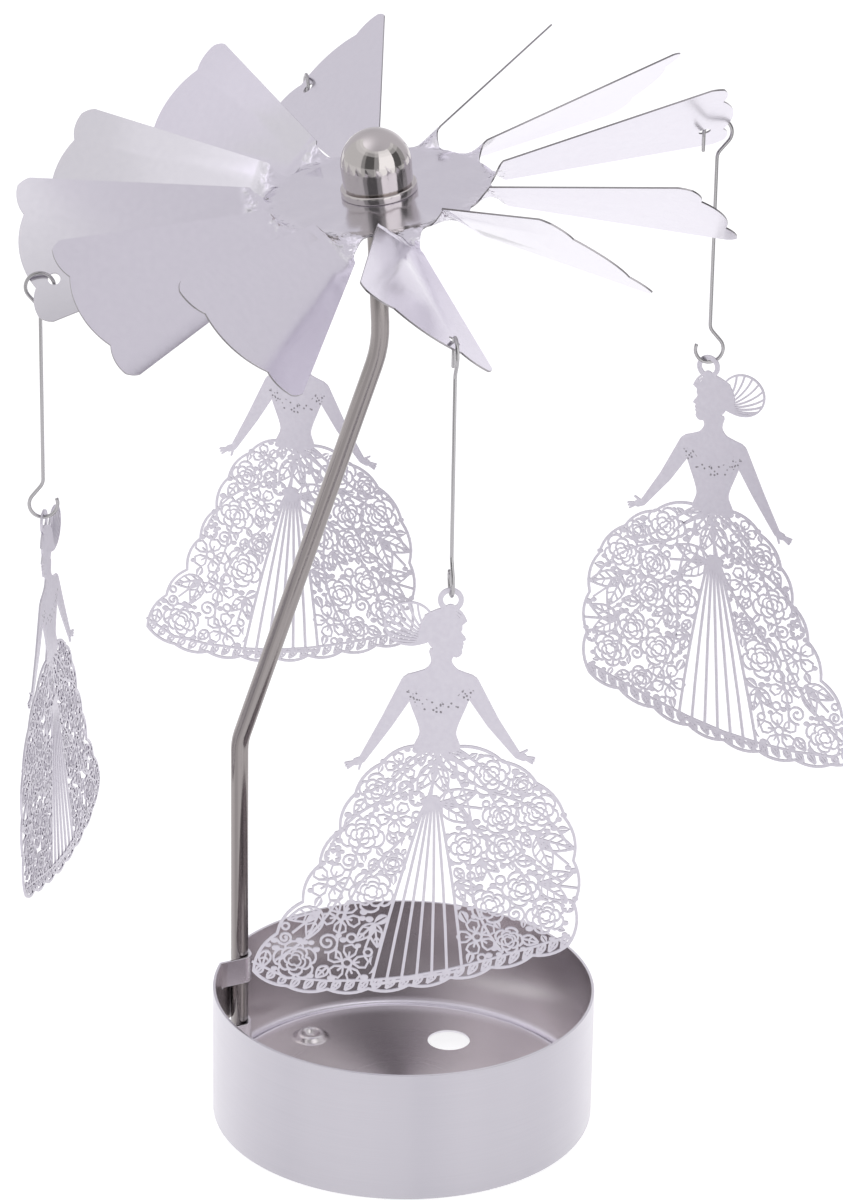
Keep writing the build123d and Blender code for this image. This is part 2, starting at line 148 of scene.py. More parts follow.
class Value:
    """A shader socket that takes part in sums, where each operator adds its Math node."""

    def __init__(self, nodes, socket):
        self.nodes = nodes
        self.socket = socket

    def maths(self, operation, first, second):
        return self.nodes.add("ShaderNodeMath", {"operation": operation}, {0: first, 1: second})

    def __add__(self, other):
        return self.maths("ADD", self, other)

    __radd__ = __add__

    def __sub__(self, other):
        return self.maths("SUBTRACT", self, other)

    def __rsub__(self, other):
        return self.maths("SUBTRACT", other, self)

    def __mul__(self, other):
        return self.maths("MULTIPLY", self, other)

    __rmul__ = __mul__

    def __pow__(self, other):
        return self.maths("POWER", self, other)


class Nodes:
    """A node tree: feed sets or links one socket, and add makes one node and gives back its output."""

    def __init__(self, tree):
        self.tree = tree

    def feed(self, socket, value):
        if isinstance(value, Value):
            self.tree.links.new(value.socket, socket)
        else:
            socket.default_value = value

    def add(self, kind, settings, values, output=0):
        node = self.tree.nodes.new(kind)
        for setting, value in settings.items():
            setattr(node, setting, value)
        for socket, value in values.items():
            self.feed(node.inputs[socket], value)
        return Value(self, node.outputs[output])

    def vector(self, operation, first, second, output="Vector"):
        return self.add("ShaderNodeVectorMath", {"operation": operation}, {0: first, 1: second}, output)


world = bpy.data.worlds.new("surround")
world.use_nodes = True
surround = Nodes(world.node_tree)
background = world.node_tree.nodes["Background"]
background.inputs["Color"].default_value = surround_white
outwards = surround.add("ShaderNodeTexCoord", {}, {}, "Generated")
strength = surround_strength
for middle, focus, gain in surround_glows:
    facing = surround.vector("DOT_PRODUCT", outwards, middle, "Value")
    facing = surround.add("ShaderNodeClamp", {}, {"Value": facing})
    strength = strength + facing ** focus * gain
surround.feed(background.inputs["Strength"], strength)
bpy.context.scene.world = world
bpy.context.scene.view_settings.view_transform = "Standard"


# Cup. One sheet of steel, drawn to a cup with its wall folded back under the floor as a foot. Two straps
# are lanced out of the wall and bowed inwards to hold the post. The outside is satin, with a painted
# highlight to its left and right. The inside is turned, which leaves fine rings. A dark fan of reflection
# is painted on it as shade, and its floor's edge and the straps are painted bright, as painted highlights.
cup_radius = 0.0325
cup_height = 0.0234
cup_sheet = 0.0005
floor_rise = 0.0033
foot_width = 0.0011
floor_corner_radius = 0.00045
hole_radius = 0.0037
hole_place = Vector((0.008, 0.0182))
dimple_place = Vector((-0.0162, 0.0184))
dimple_radius = 0.0036
dimple_start = 0.0002
dimple_ridge_radius = 0.0019
dimple_ridge_width = 0.0008
dimple_ridge_height = 0.0011
post_azimuth = 159.2
post_radius = 0.0015
post_clearance = 0.0001
strap_reach = 0.0046
strap_spans = ((0.0186, cup_height), (0.0051, 0.0105))
lance_slit = 0.0003
wall_radius = cup_radius - cup_sheet / 2
foot_radius = cup_radius - foot_width + cup_sheet / 2
fold_radius = (wall_radius - foot_radius) / 2
floor_level = floor_rise - cup_sheet / 2
floor_edge = foot_radius - floor_corner_radius
strap_end = sqrt(wall_radius ** 2 - strap_reach ** 2)
satin_white = (0.60, 0.58, 0.62, 1)
satin_grey = (0.42, 0.41, 0.46, 1)
brushed_brown = (0.86, 0.82, 0.835, 1)
brushed_shade = (0.62, 0.58, 0.595, 1)
turned_lines = 6000
floor_fade = (0.0016, 0.0006)
# The next five values paint a highlight along the floor's edge, light on the straps and a dark fan of
# reflection.
edge_highlight_fade = (-0.0007, -0.0003)
strap_light_fade = (-0.0009, -0.0015)
painted_fan_direction = (-0.2, 0.98, 0)
painted_fan_shade = (0.34, 0.315, 0.33, 1)
edge_highlight_white = (0.95, 0.93, 0.97, 1)
# The rim's own colour, and also the colour of the painted highlight on the satin.
rim_and_sheen_white = (0.90, 0.88, 0.92, 1)


class Finish(Nodes):
    """A metal's material: its shader's plain values, and the nodes that vary them."""

    def __init__(self, name, colour, roughness):
        self.material = bpy.data.materials.new(name)
        self.material.use_nodes = True
        super().__init__(self.material.node_tree)
        self.shader = self.tree.nodes["Principled BSDF"]
        for socket, value in (("Base Color", colour), ("Roughness", roughness), ("Metallic", 1.0)):
            self.vary(socket, value)

    def vary(self, socket, value):
        self.feed(self.shader.inputs[socket], value)

    def place(self):
        return self.add("ShaderNodeTexCoord", {}, {}, "Object")

    def noise_at(self, place, scale=1.0, detail=2.0):
        return self.add("ShaderNodeTexNoise", {}, {"Vector": place, "Scale": scale, "Detail": detail}, "Fac")

    def noise(self, stretch, detail=2.0):
        """Noise on the piece's own coordinates, finer along the axes with a larger stretch."""
        drawn_out = self.add("ShaderNodeMapping", {}, {"Vector": self.place(), "Scale": stretch})
        return self.noise_at(drawn_out, 1.0, detail)

    def flat(self, place):
        """A place moved straight down or up to height 0."""
        return self.vector("MULTIPLY", place, (1, 1, 0))

    def far_out(self, place):
        """How far a place is from the Z axis."""
        return self.vector("LENGTH", self.flat(place), (0, 0, 0), "Value")

    def ease(self, value, start, end, base=0):
        """Goes smoothly from 0 at base + start to 1 at base + end, which may be the lower of the two."""
        edges = {"Value": value, "From Min": base + start, "From Max": base + end}
        return self.add("ShaderNodeMapRange", {"interpolation_type": "SMOOTHSTEP"}, edges)

    def tint(self, first, second, share):
        """A mix of two colours, by the share of the second."""
        mix = {"data_type": "RGBA", "blend_type": "MIX"}
        return self.add("ShaderNodeMix", mix, {0: share, 6: first, 7: second}, 2)

    def fan(self, direction, power):
        """Full along one line through the upright axis, falling off round to both sides of it."""
        heading = self.vector("NORMALIZE", self.flat(self.place()), (0, 0, 0))
        along = self.vector("DOT_PRODUCT", heading, direction, "Value")
        return (along * along) ** power

    def bump(self, height, depth):
        push = {"Height": height, "Distance": depth, "Strength": 1.0}
        self.vary("Normal", self.add("ShaderNodeBump", {}, push, "Normal"))


def brushed(name, colour, shade, roughness, stretch, depth, cloud_stretch=(60, 60, 60), painted_sheen=0):
    """Steel with fine drawn lines over soft clouds, each as fine along each axis as its stretch says.
    The last value is how much brighter the colour is painted to its left and right, a painted highlight."""
    finish = Finish(name, colour, roughness)
    lines = finish.noise(stretch)
    clouds = finish.noise(cloud_stretch)
    finish.vary("Roughness", roughness + (lines - 0.5) * 0.12 + (clouds - 0.5) * 0.08)
    grain = finish.tint(colour, shade, lines * 0.2 + clouds * 0.6)
    # Painted highlight: the colour is painted brighter round to the piece's own left and right.
    if painted_sheen:
        grain = finish.tint(grain, rim_and_sheen_white, finish.fan((1, 0, 0), 3) * painted_sheen)
    finish.vary("Base Color", grain)
    finish.bump(lines, depth)
    return finish.material


def turned_steel():
    """The inside: fine rings, a painted dark fan of reflection from front to back,
    a painted highlight along the floor's edge and painted light on the straps.
    """
    finish = Finish("cup_brushed", brushed_brown, 0.34)
    finish.vary("Anisotropic", 0.8)
    place = finish.place()
    out = finish.far_out(place)
    height = finish.add("ShaderNodeSeparateXYZ", {}, {"Vector": place}, "Z")
    rings = finish.add("ShaderNodeCombineXYZ", {}, {"X": out * turned_lines, "Y": height * turned_lines})
    lines = finish.noise_at(rings)
    clouds = finish.noise((70, 70, 70))
    on_floor = finish.ease(height, *floor_fade, floor_rise)
    # Painted highlight along the floor's edge.
    edge_highlight = finish.ease(out, *edge_highlight_fade, cup_radius - foot_width) * on_floor
    # Painted light on the straps.
    strap_light = finish.ease(out, *strap_light_fade, cup_radius) * (1 - on_floor)
    grain = finish.tint(brushed_brown, brushed_shade, lines * 0.4 + clouds * 0.3)
    # Painted shade: a dark fan of reflection from front to back.
    grain = finish.tint(grain, painted_fan_shade, finish.fan(painted_fan_direction, 5) * 0.75)
    finish.vary("Base Color", finish.tint(grain, edge_highlight_white, edge_highlight + strap_light * 0.8))
    finish.vary("Roughness", 0.24 + (lines - 0.5) * 0.14 + (clouds - 0.5) * 0.08)
    finish.bump(lines, 2e-6)
    return finish.material


# Its last value paints the satin's colour brighter to its left and right, a painted highlight.
cup_satin = brushed("cup_satin", satin_white, satin_grey, 0.34, (60, 60, 6000), 5e-7, (60, 60, 2), 0.55)
rim_bright = brushed("rim_bright", rim_and_sheen_white, satin_white, 0.2, (900, 900, 900), 1e-6)


def only(kind, items):
    return [item for item in items if isinstance(item, kind)]


def edges_of(corners):
    """The edges that meet in the corners, each once and always in the same order."""
    return list(dict.fromkeys(edge for corner in corners for edge in corner.link_edges))


def chain(bm, points):
    """A chain of edges through points, or through corners that are there already."""
    corners = [point if isinstance(point, bmesh.types.BMVert) else bm.verts.new(point) for point in points]
    return [bm.edges.new(pair) for pair in zip(corners, corners[1:])]


def even_shares(steps):
    """Shares from 0 to 1 in even steps."""
    return [step / steps for step in range(steps + 1)]


def arc(centre, radius, start, end, steps):
    """Points of an arc in a profile, as (distance out, height)."""
    angles = [radians(start + (end - start) * share) for share in even_shares(steps)]
    return [(centre[0] + radius * cos(angle), centre[1] + radius * sin(angle)) for angle in angles]


def spun(bm, profile, place, angle, steps):
    """Spin a profile of (distance out, height) points round the place's Z axis."""
    edges = chain(bm, [place @ Vector((out, 0, height)) for out, height in profile])
    corners = dict.fromkeys(corner for edge in edges for corner in edge.verts)
    made = bmesh.ops.spin(
        bm,
        geom=[*corners, *edges],
        cent=place.translation,
        axis=place.to_3x3() @ Vector((0, 0, 1)),
        angle=radians(angle),
        steps=steps,
        use_merge=abs(angle) == 360,
    )
    return made["geom_last"]


def dimple_profile():
    """A round ridge with a hollow middle, eased into the floor, from near its middle outwards."""
    outs = [dimple_start + (dimple_radius - dimple_start) * share for share in even_shares(16)]
    from_ridge = [(out - dimple_ridge_radius) / dimple_ridge_width for out in outs]
    heights = [dimple_ridge_height * exp(-distance ** 2) for distance in from_ridge]
    return [(out, height - heights[-1]) for out, height in zip(outs, heights)]


def cup_profile():
    """The middle of the sheet, from the floor's edge round the foot and up the wall, past each slit."""
    corner = floor_corner_radius
    rows = [(wall_radius, height) for span in strap_spans[::-1] for height in (span[0] - lance_slit, *span)]
    rows.insert(3, (wall_radius, strap_spans[1][1] + lance_slit))
    return (
        arc((floor_edge, floor_level - corner), corner, 90, 0, 6)
        + arc((foot_radius + fold_radius, fold_radius + cup_sheet / 2), fold_radius, 180, 360, 8)
        + rows
    )


def add_wall(bm):
    """Spin the foot and the wall, and cut out of it what the straps and their slits take."""
    half_window = degrees(atan2(strap_reach, strap_end))
    spun(bm, cup_profile(), turn(post_azimuth + half_window, "Z"), 360 - 2 * half_window, 172)
    window = len(bm.faces)
    spun(bm, cup_profile(), turn(post_azimuth - half_window, "Z"), 2 * half_window, 8)
    bm.faces.ensure_lookup_table()
    lanced = []
    for face in bm.faces[window:]:
        middle = face.calc_center_median()
        by_strap = any(bottom - lance_slit < middle.z < top + lance_slit for bottom, top in strap_spans)
        if by_strap and middle.xy.length > foot_radius + fold_radius:
            lanced.append(face)
    bmesh.ops.delete(bm, geom=lanced, context="FACES")


def add_straps(bm):
    """Bend the straps over the post like staples, with both their ends in the wall."""
    centre = wall_radius - cup_sheet / 2 - post_clearance - post_radius
    bow = post_radius + post_clearance + cup_sheet / 2
    touch = atan2(strap_reach, strap_end - centre) + acos(bow / hypot(strap_end - centre, strap_reach))
    place = turn(post_azimuth, "Z")
    post_middle = place @ Vector((centre, 0, 0))
    for span in strap_spans:
        edge = chain(bm, [place @ Vector((strap_end, strap_reach, height)) for height in span])[0]
        touching = [Vector((centre + bow * cos(touch), bow * sin(touch), height)) for height in span]
        bowed = chain(bm, [place @ point for point in touching])[0]
        bmesh.ops.bridge_loops(bm, edges=[edge, bowed])
        bent = [*bowed.verts, bowed]
        sweep = 2 * (pi - touch)
        made = bmesh.ops.spin(bm, geom=bent, cent=post_middle, axis=(0, 0, 1), angle=sweep, steps=16)
        bowed = only(bmesh.types.BMEdge, made["geom_last"])[0]
        edge = chain(bm, [place @ Vector((strap_end, -strap_reach, height)) for height in span])[0]
        bmesh.ops.bridge_loops(bm, edges=[bowed, edge])


def from_dimple(edge):
    """How far an edge is from the dimple's middle."""
    return (edge.verts[0].co.xy - dimple_place).length


def add_floor(bm):
    """Fill the floor in between its edge, its hole and its dimple."""
    rim = [edge for edge in bm.edges if edge.is_boundary and edge.verts[0].co.xy.length < floor_edge + 1e-5]
    rim = [edge for edge in rim if abs(edge.verts[0].co.z - floor_level) < 1e-5]
    middle = shift(*hole_place, floor_level)
    hole = bmesh.ops.create_circle(bm, segments=48, radius=hole_radius, matrix=middle)
    rim += edges_of(hole["verts"])
    spun(bm, dimple_profile(), shift(*dimple_place, floor_level), 360, 48)
    bmesh.ops.remove_doubles(bm, verts=bm.verts, dist=2e-5)
    open_edges = [edge for edge in bm.edges if edge.is_boundary]
    dimple_edges = [edge for edge in open_edges if from_dimple(edge) < dimple_radius + 1e-5]
    crown = [edge for edge in dimple_edges if from_dimple(edge) < dimple_ridge_radius]
    bmesh.ops.contextual_create(bm, geom=crown)
    rim = [edge for edge in rim if edge.is_valid] + [edge for edge in dimple_edges if edge not in crown]
    bmesh.ops.triangle_fill(bm, use_beauty=True, edges=rim)


def build_cup():
    bm = bmesh.new()
    add_wall(bm)
    add_straps(bm)
    bmesh.ops.remove_doubles(bm, verts=bm.verts, dist=2e-5)
    add_floor(bm)
    bmesh.ops.recalc_face_normals(bm, faces=bm.faces)
    return bm


def thicken(piece, sheet, inner_material=0, rim_material=0):
    """Give a sheet its thickness, half of it to each side, and its materials by their slots."""
    thickened = piece.modifiers.new("sheet", "SOLIDIFY")
    thickened.thickness = sheet
    thickened.offset = 0
    thickened.material_offset = inner_material
    thickened.material_offset_rim = rim_material


def soften(piece, width):
    """Break the sharp edges of a piece, as a real sheet's edges are."""
    softened = piece.modifiers.new("broken_edges", "BEVEL")
    softened.width = width
    softened.segments = 2
    softened.limit_method = "ANGLE"
    softened.angle_limit = radians(50)
    softened.harden_normals = True


cup = mesh_object("cup", build_cup(), cup_satin)
cup.data.materials.append(turned_steel())
cup.data.materials.append(rim_bright)
thicken(cup, cup_sheet, inner_material=1, rim_material=2)
soften(cup, 0.0001)
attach(cup, "stand")
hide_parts("base_cup")


# Post. One drawn and polished steel rod, pushed down through the straps onto the cup's floor. It is bent
# twice, to slant in over the cup and to stand up again under the wheel, and its top is turned to a point.
def joint_place(name):
    """A joint's place and axis."""
    joint = next(joint for joint in frame["joints"] if joint["name"] == name)
    return Vector(joint["pos_m"]), Vector(joint["axis"])


pivot = joint_place("wheel_spin")[0]
post_place_radius = cup_radius - cup_sheet - post_clearance - post_radius
lower_bend = Vector((post_place_radius, 0.0637))
lower_bend_radius = 0.010
upper_bend = Vector((0.0056, 0.1385))
upper_bend_radius = 0.020
foot_cut = 0.0004
point_length = 0.0045
point_radius = 0.00025
rod_brown = (0.30, 0.275, 0.27, 1)
# Light and dark streak colours: drawing lines and painted reflection in one.
rod_streak_and_highlight = (0.42, 0.395, 0.39, 1)
rod_streak_and_shade = (0.10, 0.09, 0.09, 1)


def drawn_on(bm, ring, place, runs):
    """Draw a ring along straight runs (length, 0) and bends (radius, angle) in the place's XZ plane."""
    for size, angle in runs:
        if angle:
            centre = shift(size if angle > 0 else -size, 0, 0)
            step = centre @ turn(angle, "Y") @ centre.inverted()
            made = bmesh.ops.spin(
                bm,
                geom=ring,
                cent=(place @ centre).translation,
                axis=place.to_3x3() @ Vector((0, 1, 0)),
                angle=radians(angle),
                steps=max(2, round(abs(angle) / 6)),
            )
            ring = made["geom_last"]
        else:
            step = shift(0, 0, size)
            made = bmesh.ops.extrude_edge_only(bm, edges=only(bmesh.types.BMEdge, ring))
            ring = [item for item in made["geom"] if not isinstance(item, bmesh.types.BMFace)]
            corners = only(bmesh.types.BMVert, ring)
            bmesh.ops.translate(bm, verts=corners, vec=place.to_3x3() @ Vector((0, 0, size)))
        place = place @ step
    return ring, place


def drawn_to(bm, ring, place, share, length):
    """Draw a ring on by a length while it shrinks or grows to a share of its radius."""
    ring, place = drawn_on(bm, ring, place, ((length, 0),))
    corners = only(bmesh.types.BMVert, ring)
    bmesh.ops.scale(bm, verts=corners, vec=(share, share, share), space=shift(*-place.translation))
    return ring, place


def close_ring(bm, ring):
    bmesh.ops.contextual_create(bm, geom=only(bmesh.types.BMEdge, ring))


def first_ring(bm, radius, sides, place):
    """The closed end that a rod or a wire is drawn on from."""
    made = bmesh.ops.create_circle(bm, segments=sides, radius=radius, matrix=place)
    ring = made["verts"] + edges_of(made["verts"])
    close_ring(bm, ring)
    return ring


def build_post():
    bm = bmesh.new()
    tip = Vector((hypot(*pivot.xy), pivot.z))
    slant = degrees(atan2(upper_bend.x - lower_bend.x, upper_bend.y - lower_bend.y))
    lean = degrees(atan2(tip.x - upper_bend.x, tip.y - upper_bend.y))
    lower_cut = lower_bend_radius * tan(radians(-slant) / 2)
    upper_cut = upper_bend_radius * tan(radians(lean - slant) / 2)
    runs = (
        (lower_bend.y - floor_rise - foot_cut - lower_cut, 0),
        (lower_bend_radius, slant),
        ((upper_bend - lower_bend).length - lower_cut - upper_cut, 0),
        (upper_bend_radius, lean - slant),
        ((tip - upper_bend).length - upper_cut - point_length, 0),
    )
    place = turn(post_azimuth, "Z") @ shift(post_place_radius, 0, floor_rise)
    ring = first_ring(bm, post_radius - foot_cut, 48, place)
    ring, place = drawn_to(bm, ring, place, post_radius / (post_radius - foot_cut), foot_cut)
    ring, place = drawn_on(bm, ring, place, runs)
    share = point_radius / post_radius
    ring, place = drawn_to(bm, ring, place, share, point_length - point_radius / 2)
    ring, place = drawn_to(bm, ring, place, 0.5, point_radius / 2)
    close_ring(bm, ring)
    bmesh.ops.recalc_face_normals(bm, faces=bm.faces)
    return bm


def rod_polish():
    """Polished rod with light and dark streaks along it, drawing lines and painted reflection in one,
    which follow its bends because they keep their distance aside.
    """
    finish = Finish("rod_polish", rod_brown, 0.14)
    turned = {"Vector": finish.place(), "Angle": radians(-post_azimuth)}
    in_plane = finish.add("ShaderNodeVectorRotate", {"rotation_type": "Z_AXIS"}, turned)
    streaky = finish.add("ShaderNodeMapping", {}, {"Vector": in_plane, "Scale": (0, 1400, 0)})
    streaks = finish.noise_at(streaky, 1.0, 3.0)
    # Light and dark streaks across the rod: drawing lines, and painted reflection.
    dark = finish.ease(streaks, 0.47, 0.36)
    light = finish.ease(streaks, 0.54, 0.66)
    finish.vary("Base Color", finish.tint(finish.tint(rod_brown, rod_streak_and_highlight, light), rod_streak_and_shade, dark * 0.7))
    finish.vary("Roughness", 0.12 + finish.noise((300, 300, 300)) * 0.08)
    finish.bump(streaks, 5e-6)
    return finish.material


post = mesh_object("post_rod", build_post(), rod_polish())
soften(post, 0.00005)
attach(post, "stand")
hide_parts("post")


# Fan wheel. One sheet stamped with twelve blades, each twisted by hand at its neck between two keyholes.
# It rocks on the post's point, so it leans a little. Four of the blades have a hole for a hook.
wheel_sheet = 0.0003
wheel_lean = 8.7
wheel_lean_azimuth = 212
first_blade_azimuth = 99.9
hub_flat_radius = 0.0173
keyhole_radius = 0.0016
hub_bore_radius = 0.0044
twist_length = 0.0031
blade_length = 0.0355
blade_tip_width = 0.026
small_lobe_width = 0.0066
corner_rounding = 0.0013
notch_step = 0.0007
small_lobe_step = 0.0014
big_lobe_step = 0.0024
blade_pitches = (36, 38, 36, 45, 45, 44.5, 44, 46, 42, 42, 38.5, 41)
blade_lifts = (3, 3, 0.5, -1, -0.5, -0.5, 0, 6, -1.5, 6, 0.2, -1.8)
blade_skews = (1.2, 3, 3, 3, 3, 3, 3, 3, 3, 3, 3, 3)
blade_angle = 360 / len(blade_pitches)
hung_blades = (0, 3, 6, 9)
hook_hole_radius = 0.001
hook_hole_from_middle = 0.0054
hook_bridge = 0.0026
pivot_rise = 0.00985
sheet_bright = (0.775, 0.75, 0.81, 1)
sheet_shade = (0.73, 0.705, 0.77, 1)
edge_grey = (0.36, 0.345, 0.36, 1)
edge_shade = (0.30, 0.285, 0.30, 1)
crease_places = (0.0158, 0.0184, 0.0198, 0.0225)
neck_columns = 4
neck_rows = 8

lean = turn(wheel_lean_azimuth, "Z") @ turn(wheel_lean, "Y") @ turn(-wheel_lean_azimuth, "Z")
rotor_place = shift(*pivot) @ lean @ shift(0, 0, -pivot_rise)


def neck_half_width(along):
    """Half the width of the sheet between two keyholes, at a distance from the wheel's centre."""
    keyhole_out = hub_flat_radius + keyhole_radius
    keyhole_aside = keyhole_out * tan(radians(blade_angle / 2))
    return keyhole_aside - sqrt(max(0, keyhole_radius ** 2 - (along - keyhole_out) ** 2))


def twist_place(share, number):
    """Where the sheet lies at a share of the way along a blade's twisted neck."""
    eased = share * share * (3 - 2 * share)
    turned = (
        turn(-eased * blade_lifts[number], "Y")
        @ turn(-eased * blade_skews[number], "Z")
        @ turn(-eased * blade_pitches[number], "X")
    )
    return shift(hub_flat_radius + share * twist_length, 0, 0) @ turned


def bulge(start, end, rise, steps):
    """Points of an arc from start to end that stands out to the right by rise, without its end."""
    chord = end - start
    radius = (chord.length_squared / 4 + rise ** 2) / (2 * rise)
    outwards = Vector((chord.y, -chord.x)).normalized()
    centre = (start + end) / 2 + outwards * (rise - radius)
    first = start - centre
    sweep = 2 * atan2(chord.length / 2, radius - rise)
    return [centre + Matrix.Rotation(sweep * step / steps, 2) @ first for step in range(steps)]


def curve(start, control, end, steps=10):
    """A line that leaves start towards control and comes to end from it."""
    return [start.lerp(control, share).lerp(control.lerp(end, share), share) for share in even_shares(steps)]


def rounded(inwards, corner, after):
    """A corner's rounding, from its straight side, which runs inwards, to a point on its lobe."""
    start = corner + (inwards - corner).normalized() * corner_rounding
    return curve(start, start.lerp(after, 0.5).lerp(corner, 0.4), after, 5)


def blade_tip():
    """The lobed edge of a blade, from one corner to the other, from the blade's root."""
    corner = Vector((blade_length, -blade_tip_width / 2))
    notch = Vector((blade_length + notch_step, corner.y + small_lobe_width))
    far_notch = Vector((notch.x, -notch.y))
    far_corner = Vector((corner.x, -corner.y))
    small_rise = small_lobe_step - notch_step / 2
    neck = Vector((twist_length, 0))
    first = bulge(corner, notch, small_rise, 12)
    last = bulge(far_notch, far_corner, small_rise, 12)
    return (
        rounded(neck, corner, first[3])
        + first[4:]
        + bulge(notch, far_notch, big_lobe_step - notch_step, 14)
        + last[:-3]
        + rounded(neck, far_corner, last[-3])[::-1]
    )


def hook_hole_middle():
    """How far a hook's hole is from its blade's root."""
    notch_y = blade_tip_width / 2 - small_lobe_width
    rise = big_lobe_step - notch_step
    lobe_radius = (notch_y ** 2 + rise ** 2) / (2 * rise)
    edge = blade_length + big_lobe_step - lobe_radius + sqrt(lobe_radius ** 2 - hook_hole_from_middle ** 2)
    return edge - hook_bridge - hook_hole_radius


def add_blade(bm, number):
    """One blade with its twisted neck, which starts as a straight row of corners along a flat of the hub."""
    around = turn(first_blade_azimuth + blade_angle * number, "Z")
    half_flat = hub_flat_radius * tan(radians(blade_angle / 2))
    strips = []
    for row in range(neck_rows + 1):
        share = row / neck_rows
        half = min(neck_half_width(hub_flat_radius + share * twist_length), half_flat)
        place = around @ twist_place(share, number)
        columns = [half * (2 * column / neck_columns - 1) for column in range(neck_columns + 1)]
        strips.append(chain(bm, [place @ Vector((0, aside, 0)) for aside in columns]))
    for near, far in zip(strips, strips[1:]):
        bmesh.ops.bridge_loops(bm, edges=near + far)
    first, last = strips[-1][0].verts[0], strips[-1][-1].verts[1]
    outline = strips[-1] + chain(bm, [first, *[place @ Vector((*point, 0)) for point in blade_tip()], last])
    if number in hung_blades:
        hole = place @ shift(hook_hole_middle(), hook_hole_from_middle, 0)
        made = bmesh.ops.create_circle(bm, segments=24, radius=hook_hole_radius, matrix=hole)
        outline += edges_of(made["verts"])
    bmesh.ops.triangle_fill(bm, use_beauty=True, edges=outline)


def build_wheel():
    bm = bmesh.new()
    for number in range(len(blade_pitches)):
        add_blade(bm, number)
    bmesh.ops.remove_doubles(bm, verts=bm.verts, dist=1e-6)

    # Hub, flat from its bore out to the necks
    hub_corner = hub_flat_radius / cos(radians(blade_angle / 2))
    flats = []
    for edge in [edge for edge in bm.edges if edge.is_boundary]:
        level = all(abs(corner.co.z) < 1e-7 for corner in edge.verts)
        if level and all(corner.co.xy.length < hub_corner + 1e-6 for corner in edge.verts):
            flats.append(edge)
    made = bmesh.ops.create_circle(bm, segments=96, radius=hub_bore_radius)
    bore = edges_of(made["verts"])
    bmesh.ops.triangle_fill(bm, use_beauty=True, edges=flats + bore)
    bmesh.ops.recalc_face_normals(bm, faces=bm.faces)
    bmesh.ops.transform(bm, matrix=rotor_place @ shift(0, 0, -wheel_sheet / 2), verts=bm.verts)
    return bm


def wheel_bright():
    """Bright sheet, a little wavy, with the crinkles that twisting leaves across the necks."""
    finish = Finish("wheel_bright", sheet_bright, 0.16)
    lay = {"Vector": finish.place(), "Location": rotor_place.translation, "Rotation": rotor_place.to_euler()}
    on_wheel = finish.add("ShaderNodeMapping", {"vector_type": "TEXTURE"}, lay)
    out = finish.far_out(on_wheel)
    near, first, last, far = crease_places
    creased = finish.ease(out, near, first) * finish.ease(out, far, last)
    crinkles = finish.noise_at(on_wheel, 650.0, 1.5)
    waves = finish.noise((45, 45, 45), 1.0)
    grain = finish.noise((900, 900, 900))
    finish.vary("Base Color", finish.tint(sheet_bright, sheet_shade, grain))
    finish.vary("Roughness", 0.1 + waves * 0.1 + grain * 0.04)
    finish.bump(creased * crinkles * 0.9 + waves * 0.4 + grain * 0.002, 5e-4)
    return finish.material


cut_edge = brushed("cut_edge", edge_grey, edge_shade, 0.35, (2500, 2500, 2500), 1e-6)
wheel = mesh_object("bladed_wheel", build_wheel(), wheel_bright())
wheel.data.materials.append(cut_edge)
thicken(wheel, wheel_sheet, rim_material=1)
soften(wheel, 0.00006)
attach(wheel, "rotor")
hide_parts("fan_wheel")


# Pivot cap. A polished steel thimble, with a collar that sits on the wheel's hub and a neck that is crimped
# over underneath it. The post's point rests inside its crown.
dome_radius = 0.00575
dome_height = 0.0093
cap_sheet = 0.0006
collar_radius = 0.0062
collar_height = 0.0013
collar_rounding = 0.0003
collar_foot_rounding = 0.0002
dome_edge_step = 0.0001
groove_height = 0.0004
groove_depth = 0.0004
cap_neck_radius = 0.0044
crimp_radius = 0.0054
crimp_thickness = 0.0005
crimp_rounding = 0.0002
polished_brown = (0.57, 0.535, 0.53, 1)
polished_shade = (0.55, 0.52, 0.51, 1)


def cap_profile():
    """The cap's skin, from its crown down its outside, round the crimp and up its inside."""
    dome_middle = (0, collar_height + dome_height - dome_radius)
    dome_edge = dome_radius - dome_edge_step
    groove = (dome_radius - groove_depth, collar_height + groove_height / 2)
    inner = dome_radius - cap_sheet
    bore = cap_neck_radius - cap_sheet
    bottom = -wheel_sheet - crimp_thickness
    corner, foot, crimp = collar_rounding, collar_foot_rounding, crimp_rounding
    return (
        arc(dome_middle, dome_radius, 89.9, 0, 20)
        + [(dome_edge, collar_height + groove_height), groove, (dome_edge, collar_height)]
        + arc((collar_radius - corner, collar_height - corner), corner, 90, 0, 4)
        + arc((collar_radius - foot, foot), foot, 0, -90, 3)
        + [(cap_neck_radius, 0), (cap_neck_radius, -wheel_sheet)]
        + arc((crimp_radius - crimp, -wheel_sheet - crimp), crimp, 90, -60, 4)
        + [(bore, bottom), (bore, cap_sheet), (inner, cap_sheet)]
        + arc(dome_middle, inner, 0, 89.9, 12)
    )


def build_cap():
    bm = bmesh.new()
    spun(bm, cap_profile(), Matrix(), 360, 96)
    bmesh.ops.remove_doubles(bm, verts=bm.verts, dist=3e-5)
    bmesh.ops.recalc_face_normals(bm, faces=bm.faces)
    bmesh.ops.transform(bm, matrix=rotor_place, verts=bm.verts)
    return bm


cap_polish = brushed("cap_polish", polished_brown, polished_shade, 0.08, (500, 500, 2500), 5e-7)
cap = mesh_object("domed_cap", build_cap(), cap_polish)
soften(cap, 0.00004)
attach(cap, "rotor")
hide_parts("pivot_cap")


